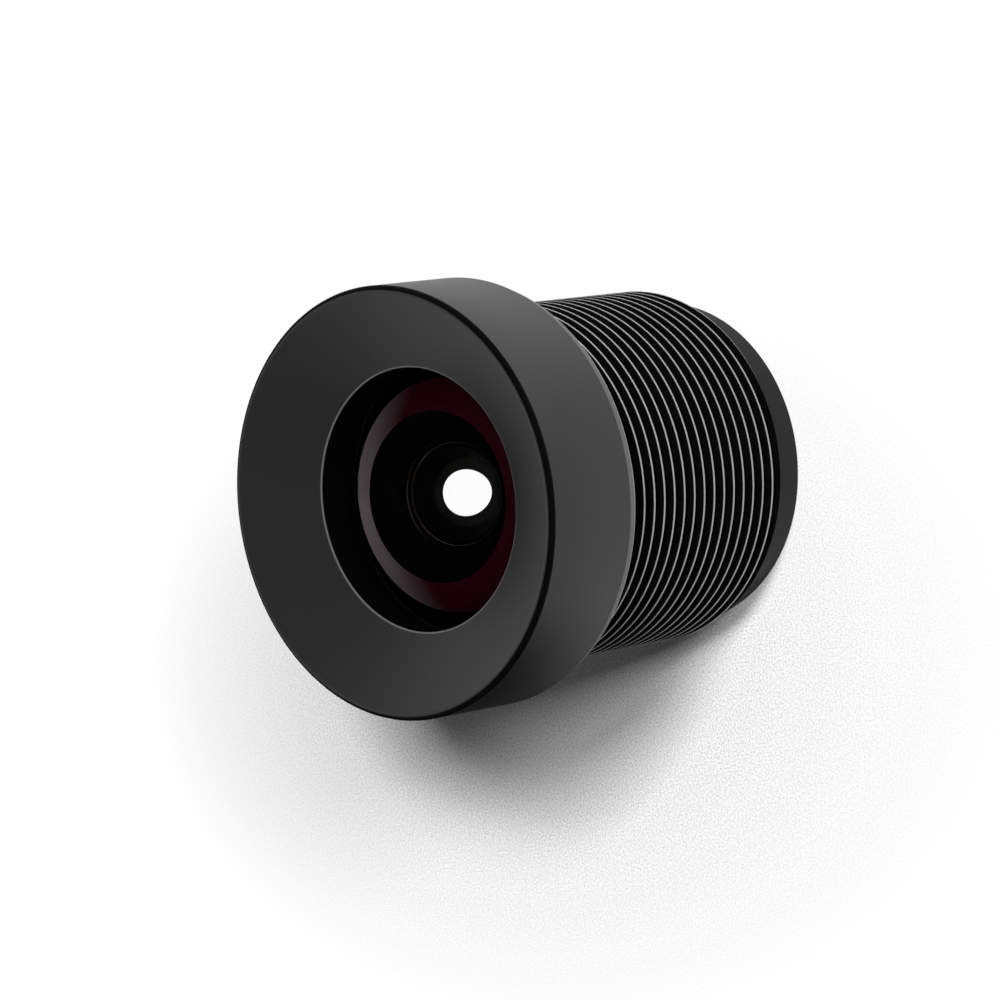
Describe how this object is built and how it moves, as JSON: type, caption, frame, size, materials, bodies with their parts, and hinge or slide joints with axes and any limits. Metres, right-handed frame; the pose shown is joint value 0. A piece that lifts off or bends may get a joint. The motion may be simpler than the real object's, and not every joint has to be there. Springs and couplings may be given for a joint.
{
  "type": "m12 board camera lens",
  "caption": "Small fixed-focus board camera lens: a wide dished head round a domed front glass, a long fine outside thread and a short plain nose.",
  "frame": {"origin": "centre of the rear nose's end face, on which the lens stands", "axes": "+Z along the optical axis towards the front glass"},
  "size_m": [0.014, 0.014, 0.0142],
  "materials": {
    "anodised_black": "satin black anodised",
    "coated_glass": "polished, antireflection coated",
    "filter_coated_glass": "polished, infrared-cut coated",
    "black_foil": "matt",
    "blackened_ring": "matt black anodised"
  },
  "bodies": {
    "root": {"barrel": "anodised_black", "front_lens": "coated_glass", "front_cell": "blackened_ring", "second_lens": "coated_glass", "baffle_foil": "black_foil", "third_lens": "coated_glass", "aperture_stop": "blackened_ring", "rear_cell": "blackened_ring", "crown_lens": "coated_glass", "flint_lens": "coated_glass", "field_baffle": "black_foil", "rear_lens": "coated_glass", "rear_spacer": "blackened_ring", "filter_glass": "filter_coated_glass", "retaining_ring": "anodised_black"}
  },
  "joints": []
}
